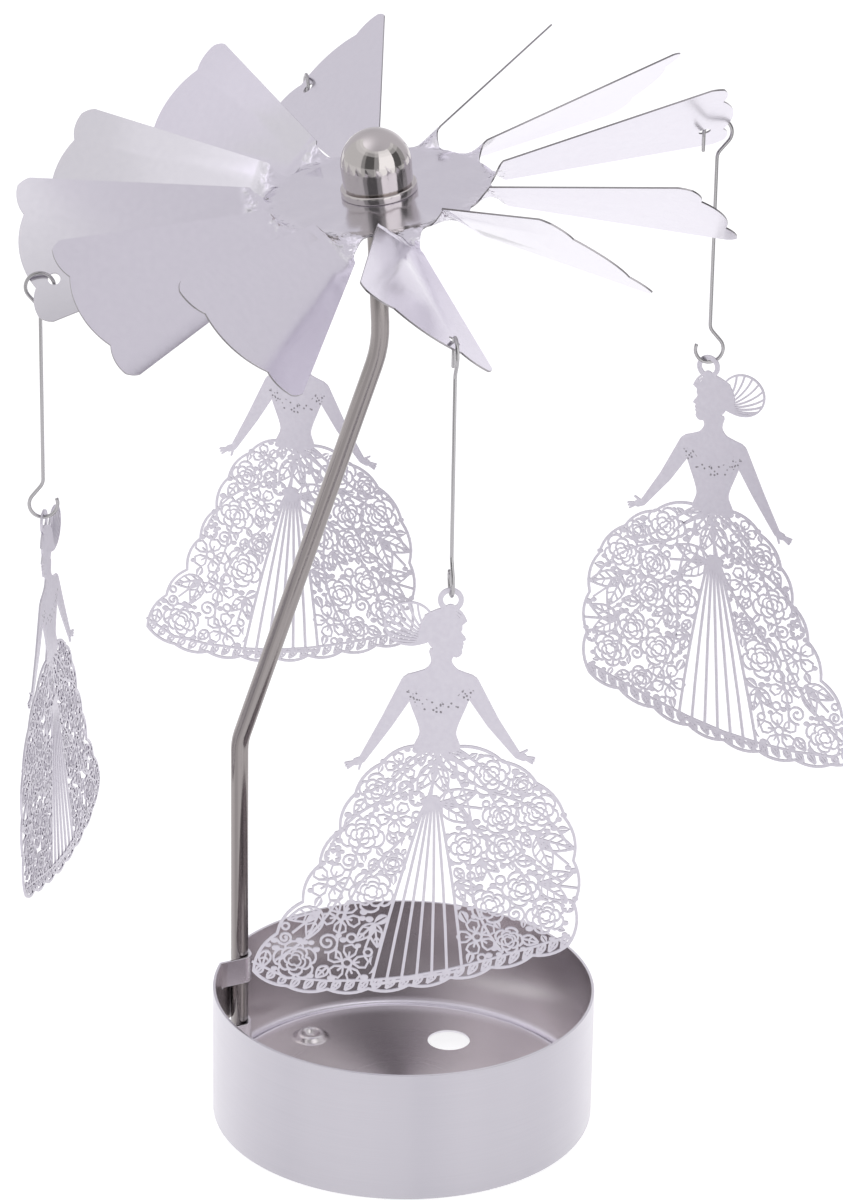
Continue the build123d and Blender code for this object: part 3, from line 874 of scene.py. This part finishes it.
# Hooks. Each is one steel wire with an open ring bent at both ends: the upper one goes down through a
# blade's hole and over the sheet beyond it, and the lower one carries a pendant.
wire_radius = 0.0003
wire_end_share = 0.7
wire_end_cut = wire_radius * 0.4
hook_ring_radius = 0.0023
hook_neck_radius = 0.002
hook_neck_angle = 40
hook_stem_length = 0.0285
hook_leg_length = 0.0032
hook_tip_turn = 242
wire_grey = (0.45, 0.44, 0.45, 1)
wire_shade = (0.38, 0.37, 0.38, 1)


def slant_length():
    """The straight run between a ring and its neck, which brings the stem under the ring's centre."""
    angle = radians(hook_neck_angle)
    return (hook_ring_radius * cos(angle) - hook_neck_radius * (1 - cos(angle))) / sin(angle)


def build_hook(side):
    bm = bmesh.new()
    centre, axis = joint_place(side + "_hook_swing")
    azimuth = degrees(atan2(axis.x, -axis.y))
    runs = (
        (hook_leg_length - wire_end_cut, 0),
        (hook_ring_radius, 180 + hook_neck_angle),
        (slant_length(), 0),
        (hook_neck_radius, -hook_neck_angle),
        (hook_stem_length, 0),
        (hook_neck_radius, -hook_neck_angle),
        (slant_length(), 0),
        (hook_ring_radius, hook_tip_turn),
    )
    place = shift(*centre) @ turn(azimuth, "Z") @ shift(-hook_ring_radius, 0, -hook_leg_length)
    ring = first_ring(bm, wire_radius * wire_end_share, 16, place)
    ring, place = drawn_to(bm, ring, place, 1 / wire_end_share, wire_end_cut)
    ring, place = drawn_on(bm, ring, place, runs)
    close_ring(bm, ring)
    bmesh.ops.recalc_face_normals(bm, faces=bm.faces)
    return bm


wire_bright = brushed("wire_bright", wire_grey, wire_shade, 0.2, (4000, 4000, 60), 5e-7)
for side in ("front", "left", "back", "right"):
    hook = mesh_object(side + "_wire_hook", build_hook(side), wire_bright)
    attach(hook, side + "_hook")
    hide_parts("hook_" + side)


# Pendants. Four alike plates etched from thin steel: a lady in a ball gown, whose skirt is a lace of roses,
# leaves, blossoms and vines round a fan of pleats. Each hangs by a hole above her head. The plate is drawn
# in millimetres from that hole, and its places are shares of its width and height.
plate_sheet = 0.0003
plate_width = 51.0
plate_height = 69.6
skirt_line_shares = (
    (-0.100, 0.352), (-0.205, 0.398), (-0.285, 0.475), (-0.330, 0.566), (-0.392, 0.653), (-0.443, 0.746),
    (-0.522, 0.826), (-0.596, 0.925), (-0.490, 0.964), (-0.363, 0.971), (-0.235, 0.968), (-0.108, 0.957),
    (0.020, 0.936), (0.147, 0.908), (0.275, 0.876), (0.388, 0.846), (0.402, 0.740), (0.396, 0.632),
    (0.365, 0.525), (0.275, 0.440), (0.170, 0.388), (0.030, 0.352),
)
hem_start = 7
hem_end = 15
hem_depth = 1.7
hem_leaf_shares = (0.1, 0.43, 0.76)
hem_leaf_slant = 0.22
hem_leaf_width = hem_depth * 0.62
scallop_share = 0.116
hole_width = 2.4
loop_wall = 0.8
loop_foot_widths = (1.8, 3.4)
head_shares = (-0.022, 0.082)
head_height = 8.0
head_line = (
    (0.00, 0.50), (0.24, 0.42), (0.35, 0.27), (0.375, 0.12), (0.355, 0.04), (0.445, -0.10), (0.39, -0.15),
    (0.405, -0.20), (0.385, -0.235), (0.395, -0.275), (0.37, -0.32), (0.375, -0.40), (0.27, -0.485),
    (0.06, -0.41), (-0.12, -0.36), (-0.26, -0.22), (-0.36, 0.04), (-0.33, 0.28), (-0.20, 0.44),
)
bun_shares = (-0.124, 0.058)
bun_root_shares = (-0.058, 0.096)
bun_width = 7.8
bun_height = 7.4
strand_line = 0.32
quiff_rises = (0.2, 1.0, 1.8)
nape_line = ((-3.0, -1.4), (-3.9, 1), (-2.2, 3.0))
nape_width = 0.9
neck_shares = (
    (-0.060, 0.118), (-0.056, 0.148), (-0.075, 0.168), (-0.130, 0.185),
    (0.070, 0.185), (0.026, 0.168), (0.006, 0.148), (0.008, 0.128),
)
bodice_shares = (
    (-0.128, 0.184), (-0.134, 0.210), (-0.116, 0.255), (-0.088, 0.318), (-0.100, 0.365),
    (0.030, 0.365), (0.024, 0.318), (0.054, 0.255), (0.076, 0.210), (0.070, 0.184), (-0.030, 0.174),
)
arm_shares = (
    ((-0.118, 0.202), (-0.190, 0.300), (-0.262, 0.390)),
    ((0.062, 0.202), (0.135, 0.295), (0.212, 0.374)),
)
arm_widths = (3.0, 2.1, 1.1)
hand_turn = 35
palm_length = 1.0
finger_length = 1.7
finger_turns = (-16, 0, 16)
thumb_turn = 50
pleat_top_shares = (-0.045, 0.480)
pleat_bottom_shares = (-0.085, 0.935)
pleat_top_spread = 1.6
pleat_bottom_spread = 14.4
pleat_bow = 1.6
pleat_rise = 0.2
pleats = 6
lace_line = 0.36
rose_layers = ((1, 5), (0.74, 5), (0.5, 4), (0.3, 3))
blossom_petal = ((0.24, 0), (0.6, -27), (0.88, -20), (1, 0), (0.88, 20), (0.6, 27), (0.24, 0))
vein_gap = 1.1
leaf_edge_shares = (0, 0.12, 0.26, 0.42, 0.6, 0.8, 1)
rim_line = 0.45
waist_shares = (-0.03, 0.36)
vine_swing = 0.1
vine_reaches = ((-56, 14), (-43, 25), (-34, 45), (-23, 40), (17, 37), (28, 36), (41, 30), (52, 26), (63, 17))
lace_sizes = ((3.3, 2.6, 1500), (2.6, 1.8, 2500), (1.8, 1.1, 5000), (1.1, 0.42, 16000))
lace_overlap = 1.1
lace_seed = 23
lace_reach = ((-0.6, 0.45), (0.36, 0.98))
bead_arc = ((-1.5, -13.2, 0.0), 4.9)
beads_per_mm = 1.7
plate_yaws = {"front": 0, "right": 155, "back": -20, "left": -100}
plate_rocks = {"front": 0, "right": 0, "back": 0, "left": 4}
plate_hole_drop = 0.0008
plate_pale = (0.61, 0.59, 0.64, 1)
plate_shade = (0.54, 0.515, 0.575, 1)
bead_shade = (0.16, 0.15, 0.16, 1)


def on_plate(shares):
    return Vector((shares[0] * plate_width, -shares[1] * plate_height))


def beside(spot, radius, angle, squash=1):
    return spot + Vector((radius * cos(radians(angle)), squash * radius * sin(radians(angle))))


def oval(spot, radius, squash=1, sides=24):
    return [beside(spot, radius, 360 * side / sides, squash) for side in range(sides)]


def sideways(start, end):
    """The direction to the left of the way from start to end."""
    along = (end - start).normalized()
    return Vector((-along.y, along.x))


def pinched(near, far):
    """The corners between two cuts across a line, right side first. A side that turns back is pinched."""
    along = far[0] + far[1] - near[0] - near[1]
    right = [near[0], far[0]] if (far[0] - near[0]).dot(along) > 0 else [near[0].lerp(far[0], 0.5)]
    left = [far[1], near[1]] if (far[1] - near[1]).dot(along) > 0 else [near[1].lerp(far[1], 0.5)]
    return right + left


def bar(points, width, right_share=0.5, closed=False):
    """Flat four-cornered pieces along a line. right_share of the width lies to the right of the line."""
    sides = []
    for number, point in enumerate(points):
        before = points[number - 1] if number or closed else point
        after = points[(number + 1) % len(points)] if closed or number + 1 < len(points) else point
        aside = sideways(before, after) * width
        sides.append((point - aside * right_share, point + aside * (1 - right_share)))
    following = sides[1:] + sides[:1] if closed else sides[1:]
    pieces = [pinched(near, far) for near, far in zip(sides, following)]
    return [piece for piece in pieces if len(piece) > 2]


def tapered(points, widths):
    """Flat pieces along a line whose width changes evenly between its points, with round joints."""
    pieces = [oval(point, width / 2, sides=16) for point, width in zip(points, widths)]
    for start, end, first, last in zip(points, points[1:], widths, widths[1:]):
        aside = sideways(start, end) / 2
        pieces.append((start - aside * first, end - aside * last, end + aside * last, start + aside * first))
    return pieces


def smooth_line(points, steps=6):
    """A closed line that runs smoothly through the points."""
    line = []
    for number in range(len(points)):
        before, start, end, after = (points[(number + step) % len(points)] for step in (-1, 0, 1, 2))
        for share in even_shares(steps)[:-1]:
            straight = (end - before) * share
            bend = (2 * before - 5 * start + 4 * end - after) * share ** 2
            twist = (3 * start - before - 3 * end + after) * share ** 3
            line.append(0.5 * (2 * start + straight + bend + twist))
    return line


def hair():
    """A bun of strands that fan out from the back of the head, and a quiff over the forehead."""
    bun, root, head = on_plate(bun_shares), on_plate(bun_root_shares), on_plate(head_shares)
    squash = bun_height / bun_width
    edge = oval(bun, bun_width / 2, squash, 40)
    pieces = bar(edge, strand_line, right_share=0, closed=True)
    for angle in range(70, 320, 22):
        end = beside(bun, bun_width / 2 - strand_line / 2, angle, squash)
        bend = root.lerp(end, 0.6) + sideways(root, end) * 0.14 * (end - root).length
        pieces += bar(curve(root, bend, end), strand_line)
    for rise in quiff_rises:
        start = head + Vector((-2.8, 2.2 + rise * 0.4))
        end = head + Vector((2.9 + rise * 0.35, 1.5 + rise * 0.3))
        pieces += bar(curve(start, head + Vector((2.2, 4.4 + rise)), end), strand_line * 1.2)
    return pieces + bar(curve(*(head + Vector(place) for place in nape_line)), nape_width)


def hand(wrist, angle):
    """A palm, three fingers and a thumb."""
    palm = beside(wrist, palm_length, angle)
    pieces = tapered((wrist, palm), (arm_widths[-1], 1.2))
    for aside in finger_turns:
        pieces += tapered((palm, beside(palm, finger_length, angle + aside)), (0.55, 0.32))
    return pieces + tapered((wrist, beside(wrist, finger_length, angle + thumb_turn)), (0.5, 0.3))


def lady():
    """Loop, head, hair, neck, bodice, arms and hands."""
    pieces = bar(oval(Vector((0, 0)), (hole_width + loop_wall) / 2, sides=32), loop_wall, closed=True)
    head = on_plate(head_shares)
    pieces.append(smooth_line([head + Vector(point) * head_height for point in head_line]))
    loop_foot = Vector((0, -(hole_width + loop_wall) / 2))
    pieces += tapered((loop_foot, head + Vector((0, head_height / 3))), loop_foot_widths)
    pieces.append(smooth_line([on_plate(shares) for shares in neck_shares], 3))
    pieces.append(smooth_line([on_plate(shares) for shares in bodice_shares]))
    for arm in arm_shares:
        shoulder, elbow, wrist = (on_plate(shares) for shares in arm)
        pieces += tapered((shoulder, elbow, wrist), arm_widths)
        reach = wrist - elbow
        outwards = hand_turn if reach.x > 0 else -hand_turn
        pieces += hand(wrist, degrees(atan2(reach.y, reach.x)) + outwards)
    return pieces + hair()


def petal(spot, radius, start, spread, dip=0.7, steps=7):
    """The line of one petal's edge, which bulges out to the radius between two dips."""
    points = []
    for share in even_shares(steps):
        out = dip + (1 - dip) * sqrt(abs(sin(pi * share)))
        points.append(beside(spot, radius * out, start + spread * share))
    return points


def rose(spot, radius, angle):
    """Four layers of petals, each with its tips in the dips of the one outside it, round a curl."""
    pieces = []
    for layer, (reach, count) in enumerate(rose_layers):
        spread = 360 / count
        for number in range(count):
            line = petal(spot, radius * reach, angle + spread * (number + layer / 2), spread)
            pieces += bar(line, lace_line * (1 - 0.1 * layer))
    return pieces + [oval(spot, radius * 0.09, sides=8)]


def blossom(spot, radius, angle):
    """Five open petals round a small ring, each with a vein."""
    pieces = bar(oval(spot, radius * 0.22, sides=10), lace_line, closed=True)
    for number in range(5):
        middle = angle + 72 * number
        edge = [beside(spot, radius * out, middle + aside) for out, aside in blossom_petal]
        pieces += bar(edge, lace_line * 0.9)
        pieces += bar([beside(spot, radius * out, middle) for out in (0.2, 0.6)], lace_line * 0.8)
    return pieces


def star_round(spot, radius, angle, points=6):
    """A small round of metal with a star pierced through it."""
    hole, edge = [], []
    for side in range(2 * points):
        heading = angle + 180 * side / points
        hole.append(beside(spot, radius * (0.35 if side % 2 else 0.8), heading))
        edge.append(beside(spot, radius, heading))
    return list(zip(hole, hole[1:] + hole[:1], edge[1:] + edge[:1], edge))


def leaf_edge_place(base, tip, width, share):
    """A place on a leaf's left edge, or on its right one where the width is below zero."""
    return base.lerp(tip, share) + sideways(base, tip) * width / 2 * sin(pi * share ** 0.8)


def leaf(base, tip, width):
    """A leaf's edges and its midrib, with more veins on a longer leaf."""
    pieces = bar([base, tip], lace_line * 0.9)
    veins = int((tip - base).length / vein_gap)
    for half in (width, -width):
        edge = [leaf_edge_place(base, tip, half, share) for share in leaf_edge_shares]
        pieces += bar(edge, lace_line * 0.9)
        for number in range(1, veins):
            share = number / veins - 0.08
            end = leaf_edge_place(base, tip, half, share + 0.16)
            pieces += bar([base.lerp(tip, share), end], lace_line * 0.65)
    return pieces


def leaf_pair(spot, radius, angle):
    base = beside(spot, radius, angle + 180)
    pieces = leaf(base, beside(spot, radius, angle + 50), radius * 0.85)
    pieces += leaf(base, beside(spot, radius, angle - 50), radius * 0.85)
    return pieces + bar([base, beside(spot, radius, angle)], lace_line)


def single_leaf(spot, radius, angle):
    return leaf(beside(spot, radius, angle + 180), beside(spot, radius, angle), radius * 1.25)


def split_leaf(spot, radius, angle):
    """A small leaf of whole metal with a slit for its midrib."""
    base, tip = beside(spot, radius, angle + 180), beside(spot, radius, angle)
    halves = []
    for half in (radius * 1.3, -radius * 1.3):
        slit = sideways(base, tip) * half * 0.1
        middle = [base.lerp(tip, share) + slit for share in (0.75, 0.25)]
        halves.append([leaf_edge_place(base, tip, half, share) for share in leaf_edge_shares] + middle)
    return halves


def tendril(spot, radius, angle):
    """A curl that winds in from the edge of its place."""
    line = [beside(spot, radius * (1 - 0.8 * share), angle + share * 560) for share in even_shares(20)]
    return bar(line, lace_line) + [oval(line[-1], lace_line * 0.8, sides=8)]


def eyelet(spot, radius, angle):
    return bar(oval(spot, radius * 0.8, sides=10), lace_line, closed=True)


def bud(spot, radius, angle):
    return [oval(spot, radius, 0.75, 10)]


def vines():
    """Stems that run from the waist down to the hem and hold the lace together."""
    waist = on_plate(waist_shares)
    pieces = []
    for angle, length in vine_reaches:
        end = beside(waist, length, angle - 90)
        swing = sideways(waist, end) * length * (vine_swing if angle % 2 else -vine_swing)
        first, second = waist.lerp(end, 0.5), waist.lerp(end, 0.25) + swing
        pieces += bar(curve(waist, second, first) + curve(first, first * 2 - second, end)[1:], lace_line)
    return pieces


def scalloped(points):
    """A line that bulges out between each point and the next."""
    line = []
    for start, end in zip(points, points[1:]):
        line += bulge(start, end, scallop_share * (end - start).length, 7)
    return line + [points[-1]]


def hem(points, inner):
    """The ruffled foot of the skirt: slanted leaves between the scallops and a line inside them."""
    pieces = bar(inner, lace_line)
    for start, end, near, far in zip(points, points[1:], inner, inner[1:]):
        for share in hem_leaf_shares:
            top = near.lerp(far, min(1, share + hem_leaf_slant))
            pieces += leaf(top, start.lerp(end, share), hem_leaf_width)
    return pieces


def pleat_line(number):
    """One rib of the fan of pleats, from its top to its foot."""
    place = number / pleats - 0.5
    top = on_plate(pleat_top_shares) + Vector((place * pleat_top_spread, 0))
    foot = on_plate(pleat_bottom_shares) + Vector((1, pleat_rise)) * place * pleat_bottom_spread
    return curve(top, top.lerp(foot, 0.5) + Vector((place * pleat_bow, 0)), foot, 8)


def is_inside(spot, outline):
    crossings = 0
    for start, end in zip(outline, outline[1:] + outline[:1]):
        if (start.y > spot.y) != (end.y > spot.y):
            crossings += spot.x < start.x + (end.x - start.x) * (spot.y - start.y) / (end.y - start.y)
    return crossings % 2 == 1


def motif_for(room, chance):
    """The motif that fills a place with this much room."""
    if room > 2.6:
        return chance.choice((rose, rose, rose, leaf_pair, blossom))
    if room > 1.8:
        return chance.choice((leaf_pair, leaf_pair, rose, blossom, tendril))
    if room > 1.1:
        return chance.choice((single_leaf, single_leaf, single_leaf, split_leaf, tendril, star_round))
    return chance.choice((split_leaf, split_leaf, eyelet)) if room > 0.62 else bud


def lace(outline, fan):
    """Motifs at places drawn by lot, each as large as the outline, the fan and the others leave room."""
    chance = Random(lace_seed)
    edges = []
    for line in (outline, fan):
        for start, end in zip(line, line[1:] + line[:1]):
            edges += [start.lerp(end, step / 6) for step in range(6)]
    placed = []
    pieces = []
    waist = on_plate(skirt_line_shares[0])
    for largest, smallest, tries in lace_sizes:
        for attempt in range(tries):
            spot = on_plate([chance.uniform(*reach) for reach in lace_reach])
            if not is_inside(spot, outline) or is_inside(spot, fan):
                continue
            room = min((spot - other).length - radius for other, radius in placed) if placed else largest
            if room < smallest:
                continue
            room = min(room, min((spot - point).length for point in edges))
            if smallest <= room <= largest:
                placed.append((spot, room))
                flow = degrees(atan2(spot.y - waist.y, spot.x - waist.x)) + chance.uniform(-50, 50)
                pieces += motif_for(room, chance)(spot, room * lace_overlap, flow)
    return pieces


def turns_left(piece):
    """Whether a piece's corners run round it to the left, which the welding needs."""
    return sum(start.x * end.y - end.x * start.y for start, end in zip(piece, [*piece[1:], piece[0]])) > 0


def drop_loose(bm):
    """Delete every scrap of metal that isn't joined to the largest one."""
    waiting = set(bm.faces)
    sheets = []
    while waiting:
        sheet = {waiting.pop()}
        fresh = list(sheet)
        while fresh:
            beyond = {face for edge in fresh.pop().edges for face in edge.link_faces} - sheet
            sheet |= beyond
            fresh += beyond
        waiting -= sheet
        sheets.append(sheet)
    largest = max(sheets, key=len)
    loose = [face for sheet in sheets if sheet is not largest for face in sheet]
    bmesh.ops.delete(bm, geom=loose, context="FACES")


def plate_pieces():
    """All the pieces that a plate is drawn with, which overlap each other."""
    points = [on_plate(shares) for shares in skirt_line_shares]
    hem_points = points[hem_start:hem_end + 1]
    raised = [point + Vector((0, hem_depth)) for point in hem_points]
    inner = points[:hem_start] + raised + points[hem_end + 1:]
    outline = scalloped(points)
    ribs = [pleat_line(number) for number in range(pleats + 1)]
    fan = ribs[0] + ribs[-1][::-1]
    pieces = lady() + bar(outline, rim_line, right_share=0) + bar([points[-1], points[0]], rim_line)
    pieces += lace(inner, fan) + vines() + hem(hem_points, raised)
    for line in (*ribs, [ribs[0][0], ribs[-1][0]], [ribs[0][-1], ribs[-1][-1]]):
        pieces += bar(line, rim_line)
    return pieces


def flat_plate():
    """Weld all the pieces to one flat sheet: whatever lies inside any of them is metal."""
    corners, outlines = [], []
    for piece in plate_pieces():
        outlines.append(list(range(len(corners), len(corners) + len(piece))))
        corners += piece if turns_left(piece) else piece[::-1]
    welded = delaunay_2d_cdt(corners, [], outlines, 1, 1e-4)
    points, triangles, piece_lists = welded[0], welded[2], welded[-1]
    bm = bmesh.new()
    corners = [bm.verts.new((point.x / 1000, point.y / 1000, 0)) for point in points]
    for triangle, piece_list in zip(triangles, piece_lists):
        if piece_list:
            bm.faces.new([corners[number] for number in triangle])
    drop_loose(bm)
    bare = [corner for corner in bm.verts if not corner.link_faces]
    bmesh.ops.delete(bm, geom=bare, context="VERTS")
    bmesh.ops.dissolve_limit(bm, angle_limit=0.01, verts=bm.verts, edges=bm.edges)
    bmesh.ops.triangulate(bm, faces=bm.faces)
    bmesh.ops.recalc_face_normals(bm, faces=bm.faces)
    flat = bm.loops.layers.uv.new("plate")
    for face in bm.faces:
        for loop in face.loops:
            loop[flat].uv = loop.vert.co.xy * 1000
    return bm


def etched_steel():
    """Pale grained steel, with a row of small dark beads etched across the bodice."""
    finish = Finish("plate_pale", plate_pale, 0.32)
    grain = finish.noise((1500, 1500, 1500))
    place = finish.add("ShaderNodeUVMap", {"uv_map": "plate"}, {}, "UV")
    spots = finish.add("ShaderNodeTexVoronoi", {}, {"Vector": place, "Scale": beads_per_mm}, "Distance")
    middle, radius = bead_arc
    out = finish.vector("DISTANCE", place, middle, "Value")
    row = finish.ease(out, -1.0, -0.8, radius) * finish.ease(out, 1.0, 0.8, radius)
    height = finish.add("ShaderNodeSeparateXYZ", {}, {"Vector": place}, "Y")
    beads = finish.ease(spots, 0.34, 0.24) * row * finish.ease(height, -1.5, -2.2, middle[1])
    grained = finish.tint(plate_pale, plate_shade, grain)
    finish.vary("Base Color", finish.tint(grained, bead_shade, beads * 0.8))
    finish.vary("Roughness", 0.28 + grain * 0.1)
    finish.bump(1 - beads + grain * 0.04, 4e-5)
    return finish.material


plate_finish = etched_steel()
plate = flat_plate()
for side in ("front", "left", "back", "right"):
    bm = plate.copy()
    wire_point = joint_place(side + "_pendant_swing")[0]
    facing = turn(plate_yaws[side], "Z") @ turn(90, "X") @ turn(-plate_rocks[side], "Z")
    hung = shift(*wire_point) @ (facing @ shift(0, -plate_hole_drop, 0))
    bmesh.ops.transform(bm, matrix=hung, verts=bm.verts)
    pendant = mesh_object(side + "_pierced_plate", bm, plate_finish)
    pendant.data.shade_flat()
    thicken(pendant, plate_sheet)
    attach(pendant, side + "_pendant")
    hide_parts("pendant_" + side)
plate.free()
